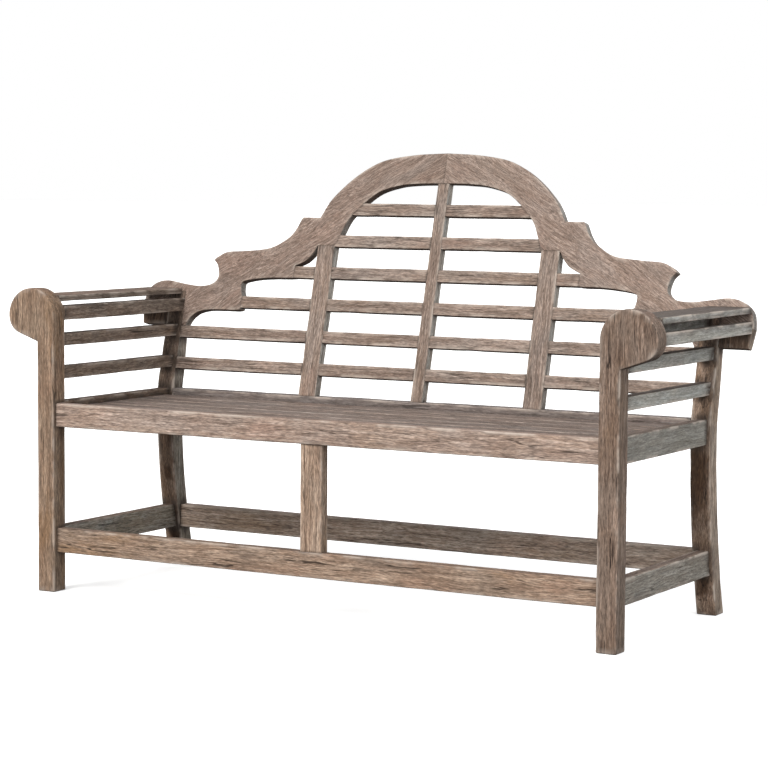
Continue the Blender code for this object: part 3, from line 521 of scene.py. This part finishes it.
def weathered_teak(name, tint=(1.0, 1.0, 1.0), cracks=1.0, dirt_and_shade=0.5, spread=0.55, green=1.0,
                   brown_and_shade=0.35, rubbed=0.7, swirl=0.006, calm=0.0, top=1.0, flank=1.0,
                   honey=0.35, fineness=1.0):
    """Teak left outdoors: silvered grain, dark checks along it, pale worn edges.

    The tint multiplies the colours. Cracks, dirt_and_shade (dirt at the joints and feet, with
    painted shade between the parts), green (grey-green on the faces to the sides, with painted
    cool light), brown_and_shade (brown wood with painted shade where the bench hides the sky),
    rubbed (edges) and honey (patches) say how strong each is. Spread is how far the dirt and
    painted shade reach from a joint, swirl how far the grain wanders, in metres, calm how much
    of the grain's contrast is lost, top and flank scale the painted light and shade on the upper
    faces and those to the sides, and fineness how close the grain is.
    """
    material = bpy.data.materials.new(name)
    material.use_nodes = True
    graph = Graph(material)
    shader = graph.tree.nodes["Principled BSDF"]
    grain = wandering_grain(graph, swirl, fineness)
    noises = {key: graph.noise(grain, key)
              for key in ("broad", "narrow", "fleck", "fine", "mottle")}
    check = checks(graph, grain, cracks)
    colour = sound_wood(graph, grain, noises, calm, honey)
    colour = graph.mix(graph.math("MULTIPLY", check, 0.80), colour, CHECK)
    colour = graph.mix(1.0, colour, tint, "MULTIPLY")

    # Painted light and shade by which way a face looks: side faces grey-green from weathering and
    # lit cooler, tops and undersides darkened as shade. Below the seat, where the bench hides the
    # sky, the wood is brown and painted with shade
    facing = graph.add("ShaderNodeSeparateXYZ", {
        "Vector": graph.add("ShaderNodeNewGeometry").outputs["Normal"]})
    side = graph.span(graph.math("ABSOLUTE", facing.outputs["X"]), 0.55, 0.95)
    colour = graph.mix(graph.math("MULTIPLY", side, green), colour, SIDE_GREY_AND_COOL_LIGHT, "MULTIPLY")
    colour = graph.mix(side, colour, (flank, flank, flank), "MULTIPLY")
    above = graph.span(facing.outputs["Z"], 0.55, 0.95)
    colour = graph.mix(above, colour, tuple(part * top for part in TOP_SHADE), "MULTIPLY")
    below = graph.span(facing.outputs["Z"], -0.35, -0.90)
    colour = graph.mix(below, colour, UNDER_SHADE, "MULTIPLY")
    covered = graph.span(graph.attribute("covered"), 0.35, 0.80, 0.0, brown_and_shade)
    covered = graph.math("MULTIPLY", covered, graph.span(side, 0.0, 1.0, 1.0, 0.2))
    colour = graph.mix(covered, colour, SHELTERED_BROWN_AND_SHADE, "MULTIPLY")

    # Dirt gathers at the joints and the feet, the darkening near the joints is also painted shade
    # between the parts, and the edges are rubbed pale
    joint = graph.span(graph.attribute("joint"), 1.0 - spread, 1.0 - 0.1 * spread)
    foot = graph.math("MULTIPLY", graph.attribute("ground"), 0.7)
    joint = graph.math("MAXIMUM", joint, foot)
    cloud = graph.span(graph.noise(grain, "cloud"), 0.35, 0.60, 0.4 * dirt_and_shade, dirt_and_shade)
    colour = graph.mix(graph.math("MULTIPLY", joint, cloud), colour, DIRT_AND_SHADE)
    rub = graph.span(graph.noise(grain, "rub"), 0.44, 0.62, 0.05, rubbed)
    worn = graph.math("MULTIPLY", graph.attribute("worn"), rub)
    worn = graph.math("MULTIPLY", worn, graph.math("SUBTRACT", 1.0, below))
    colour = graph.mix(worn, colour, RUBBED)

    roughness = graph.span(noises["narrow"], 0.3, 0.7, 0.92, 0.68, False)
    height = graph.weighed((noises["fine"], 0.30), (noises["narrow"], 0.60),
                           (noises["fleck"], 0.45))
    height = graph.math("SUBTRACT", height, graph.math("MULTIPLY", check, 1.1))
    bump = graph.add("ShaderNodeBump", {
        "Height": height, "Strength": BUMP_STRENGTH, "Distance": BUMP_HEIGHT})
    graph.tree.links.new(colour, shader.inputs["Base Color"])
    graph.tree.links.new(roughness, shader.inputs["Roughness"])
    graph.tree.links.new(bump.outputs[0], shader.inputs["Normal"])
    shader.inputs["Specular IOR Level"].default_value = SPECULAR
    return material


# Besides each wood's colour, the tints, top and flank below carry painted light and shade, most
# of all between the two ends' copies of a look
MATERIALS = {
    "leg_left": weathered_teak("leg_left_teak", (0.92, 0.82, 0.70), green=0.1, dirt_and_shade=0.8,
                               spread=0.25, honey=0.6, rubbed=0.6),
    "leg_right": weathered_teak("leg_right_teak", (0.70, 0.64, 0.60), cracks=1.3, green=0.15,
                                dirt_and_shade=0.8, spread=0.25, rubbed=0.6, flank=0.82),
    "rear_leg_left": weathered_teak("rear_leg_left_teak", (0.88, 0.82, 0.76), brown_and_shade=1.0,
                                    flank=1.25, dirt_and_shade=0.9, spread=0.6, rubbed=0.9),
    "rear_leg_right": weathered_teak("rear_leg_right_teak", (1.22, 1.14, 1.06), green=0.4,
                                     brown_and_shade=0.87, flank=0.85, dirt_and_shade=0.9, spread=0.5, rubbed=0.9),
    "post": weathered_teak("post_teak", (1.26, 1.18, 1.08), green=0.1, spread=0.14, honey=0.5),
    "front_rail": weathered_teak("front_rail_teak", (1.30, 1.28, 1.30), spread=0.12,
                                 brown_and_shade=0.1, rubbed=0.9, swirl=0.004, honey=0.2),
    "stretcher": weathered_teak("stretcher_teak", (1.12, 1.05, 0.96), cracks=1.2, dirt_and_shade=0.6,
                                spread=0.2, brown_and_shade=0.1, honey=0.6),
    "rear_stretcher": weathered_teak("rear_stretcher_teak", (1.45, 1.50, 1.52), dirt_and_shade=0.6,
                                     spread=0.2, brown_and_shade=0.1),
    "rear_rail": weathered_teak("rear_rail_teak", (0.70, 0.76, 0.86), dirt_and_shade=0.6, spread=0.2,
                                brown_and_shade=0.1, calm=0.3, honey=0.0),
    "seat_side_left": weathered_teak("seat_side_left_teak", (0.66, 0.58, 0.52), dirt_and_shade=0.9,
                                     spread=0.33, green=0.2, brown_and_shade=0.3, rubbed=0.8),
    "seat_side_right": weathered_teak("seat_side_right_teak", (0.84, 0.84, 0.83), dirt_and_shade=0.9,
                                      spread=0.4, cracks=0.4, brown_and_shade=0.2, rubbed=0.9, calm=0.5),
    "low_side_left": weathered_teak("low_side_left_teak", (0.92, 0.90, 0.88), dirt_and_shade=0.9,
                                    spread=0.4, cracks=0.8, brown_and_shade=0.2, rubbed=0.9, flank=1.5),
    "low_side_right": weathered_teak("low_side_right_teak", (0.88, 0.85, 0.82), dirt_and_shade=0.9,
                                     spread=0.4, cracks=0.8, brown_and_shade=0.2, rubbed=0.9, calm=0.25),
    "crest": weathered_teak("crest_teak", (0.96, 0.94, 0.96), cracks=0.30, dirt_and_shade=0.45,
                            spread=0.06, swirl=0.018, calm=0.15, honey=0.1, fineness=1.5),
    "back": weathered_teak("back_slat_teak", (0.92, 0.92, 0.94), cracks=0.9, spread=0.12,
                           flank=1.58, honey=0.15, fineness=1.2),
    "seat": weathered_teak("seat_slat_teak", (0.92, 0.96, 1.00), spread=0.12, rubbed=0.15,
                           brown_and_shade=0.1, honey=0.1),
    "arm_block": weathered_teak("arm_block_teak", (0.75, 0.66, 0.58), dirt_and_shade=0.9, spread=0.6,
                                green=0.5),
    "arm_left": weathered_teak("arm_left_teak", (0.78, 0.72, 0.67), cracks=1.2, dirt_and_shade=1.0,
                               spread=0.6, green=0.35, brown_and_shade=0.4),
    "arm_right": weathered_teak("arm_right_teak", (1.30, 1.38, 1.44), cracks=0.4, dirt_and_shade=1.0,
                                spread=0.95, green=0.9, brown_and_shade=0.3, calm=0.45, top=0.36),
    "hidden": weathered_teak("hidden_teak", (0.60, 0.52, 0.45), cracks=0.4),
}


# ---------------------------------------------------------------- studio

WHITE = (1.0, 1.0, 1.0, 1.0)
FLOOR_RADIUS = 90.0
FLOOR_DROP = 0.0005          # under the feet, so that the two don't share a plane
FLOOR_LIT = (0.36, 0.36, 0.36)   # what the floor gives back to the bench
FLOOR_SEEN = (0.98, 0.98, 0.98)
FLOOR_GLOW = 0.45            # makes the floor as white as its surroundings to the camera


def add_camera():
    """Camera from the front and the right, a little above the arms."""
    ahead = Vector((-math.sin(CAMERA_TURN) * math.cos(CAMERA_DIP),
                    math.cos(CAMERA_TURN) * math.cos(CAMERA_DIP), -math.sin(CAMERA_DIP)))
    level = Vector((math.cos(CAMERA_TURN), math.sin(CAMERA_TURN), 0.0))
    above = level.cross(ahead)
    right = level * math.cos(CAMERA_ROLL) + above * math.sin(CAMERA_ROLL)
    up = above * math.cos(CAMERA_ROLL) - level * math.sin(CAMERA_ROLL)
    data = bpy.data.cameras.new("camera")
    data.lens = CAMERA_LENS
    data.sensor_width = SENSOR
    camera = bpy.data.objects.new("camera", data)
    turn = Matrix((right, up, -ahead)).transposed()
    camera.matrix_world = Matrix.Translation(CAMERA_PLACE) @ turn.to_4x4()
    bpy.context.scene.collection.objects.link(camera)
    bpy.context.scene.camera = camera


def add_sun(name, towards, strength, softness, colour):
    """A broad distant light from a direction; its softness is its width in degrees."""
    data = bpy.data.lights.new(name, "SUN")
    data.energy = strength
    data.angle = math.radians(softness)
    data.color = colour
    lamp = bpy.data.objects.new(name, data)
    lamp.rotation_euler = Vector(towards).to_track_quat("Z", "Y").to_euler()
    bpy.context.scene.collection.objects.link(lamp)


def add_softbox(name, place, size, power, colour):
    """A square light of a given size and power in watts, turned to the middle of the bench."""
    data = bpy.data.lights.new(name, "AREA")
    data.energy = power
    data.size = size
    data.color = colour
    lamp = bpy.data.objects.new(name, data)
    lamp.location = place
    middle = (Vector(CAD_BOX[0]) + Vector(CAD_BOX[1])) / 2
    lamp.rotation_euler = (Vector(place) - middle).to_track_quat("Z", "Y").to_euler()
    bpy.context.scene.collection.objects.link(lamp)


def add_world(seen, lit):
    """White surroundings, brighter to the eye than the light that they give."""
    world = bpy.data.worlds.new("studio")
    world.use_nodes = True
    bpy.context.scene.world = world
    graph = Graph(world)
    to_eye = graph.add("ShaderNodeLightPath").outputs["Is Camera Ray"]
    back = graph.tree.nodes["Background"]
    back.inputs["Color"].default_value = WHITE
    strength = graph.span(to_eye, 0.0, 1.0, lit, seen, False)
    graph.tree.links.new(strength, back.inputs["Strength"])


def add_floor():
    """A wide white floor under the feet, whiter to the eye than to the bench."""
    bpy.ops.mesh.primitive_circle_add(vertices=64, radius=FLOOR_RADIUS, fill_type="NGON")
    floor = bpy.context.object
    floor.name = "floor"
    floor.location.z = CAD_BOX[0][2] - FLOOR_DROP
    material = bpy.data.materials.new("floor")
    material.use_nodes = True
    graph = Graph(material)
    shader = graph.tree.nodes["Principled BSDF"]
    shader.inputs["Roughness"].default_value = 1.0
    shader.inputs["Specular IOR Level"].default_value = 0.0
    shader.inputs["Emission Color"].default_value = WHITE
    to_eye = graph.add("ShaderNodeLightPath").outputs["Is Camera Ray"]
    tint = graph.mix(to_eye, FLOOR_LIT, FLOOR_SEEN)
    graph.tree.links.new(tint, shader.inputs["Base Color"])
    glow = graph.math("MULTIPLY", to_eye, FLOOR_GLOW)
    graph.tree.links.new(glow, shader.inputs["Emission Strength"])
    floor.data.materials.append(material)


add_camera()
add_world(seen=1.0, lit=0.42)
add_sun("key", towards=(-0.10, -0.79, 0.60), strength=3.3, softness=40,
        colour=(1.0, 0.985, 0.965))
add_sun("rear", towards=(0.25, 0.85, 0.46), strength=1.0, softness=60,
        colour=(0.97, 0.99, 1.0))
add_softbox("fill", place=(2.9, -0.9, 1.5), size=1.6, power=37.0, colour=(0.95, 0.985, 1.0))
add_floor()
bpy.context.scene.view_settings.view_transform = "Standard"

DICE = random.Random(SEED)
for node_name in sorted(NODES):
    add_member(node_name, NODES[node_name], DICE)
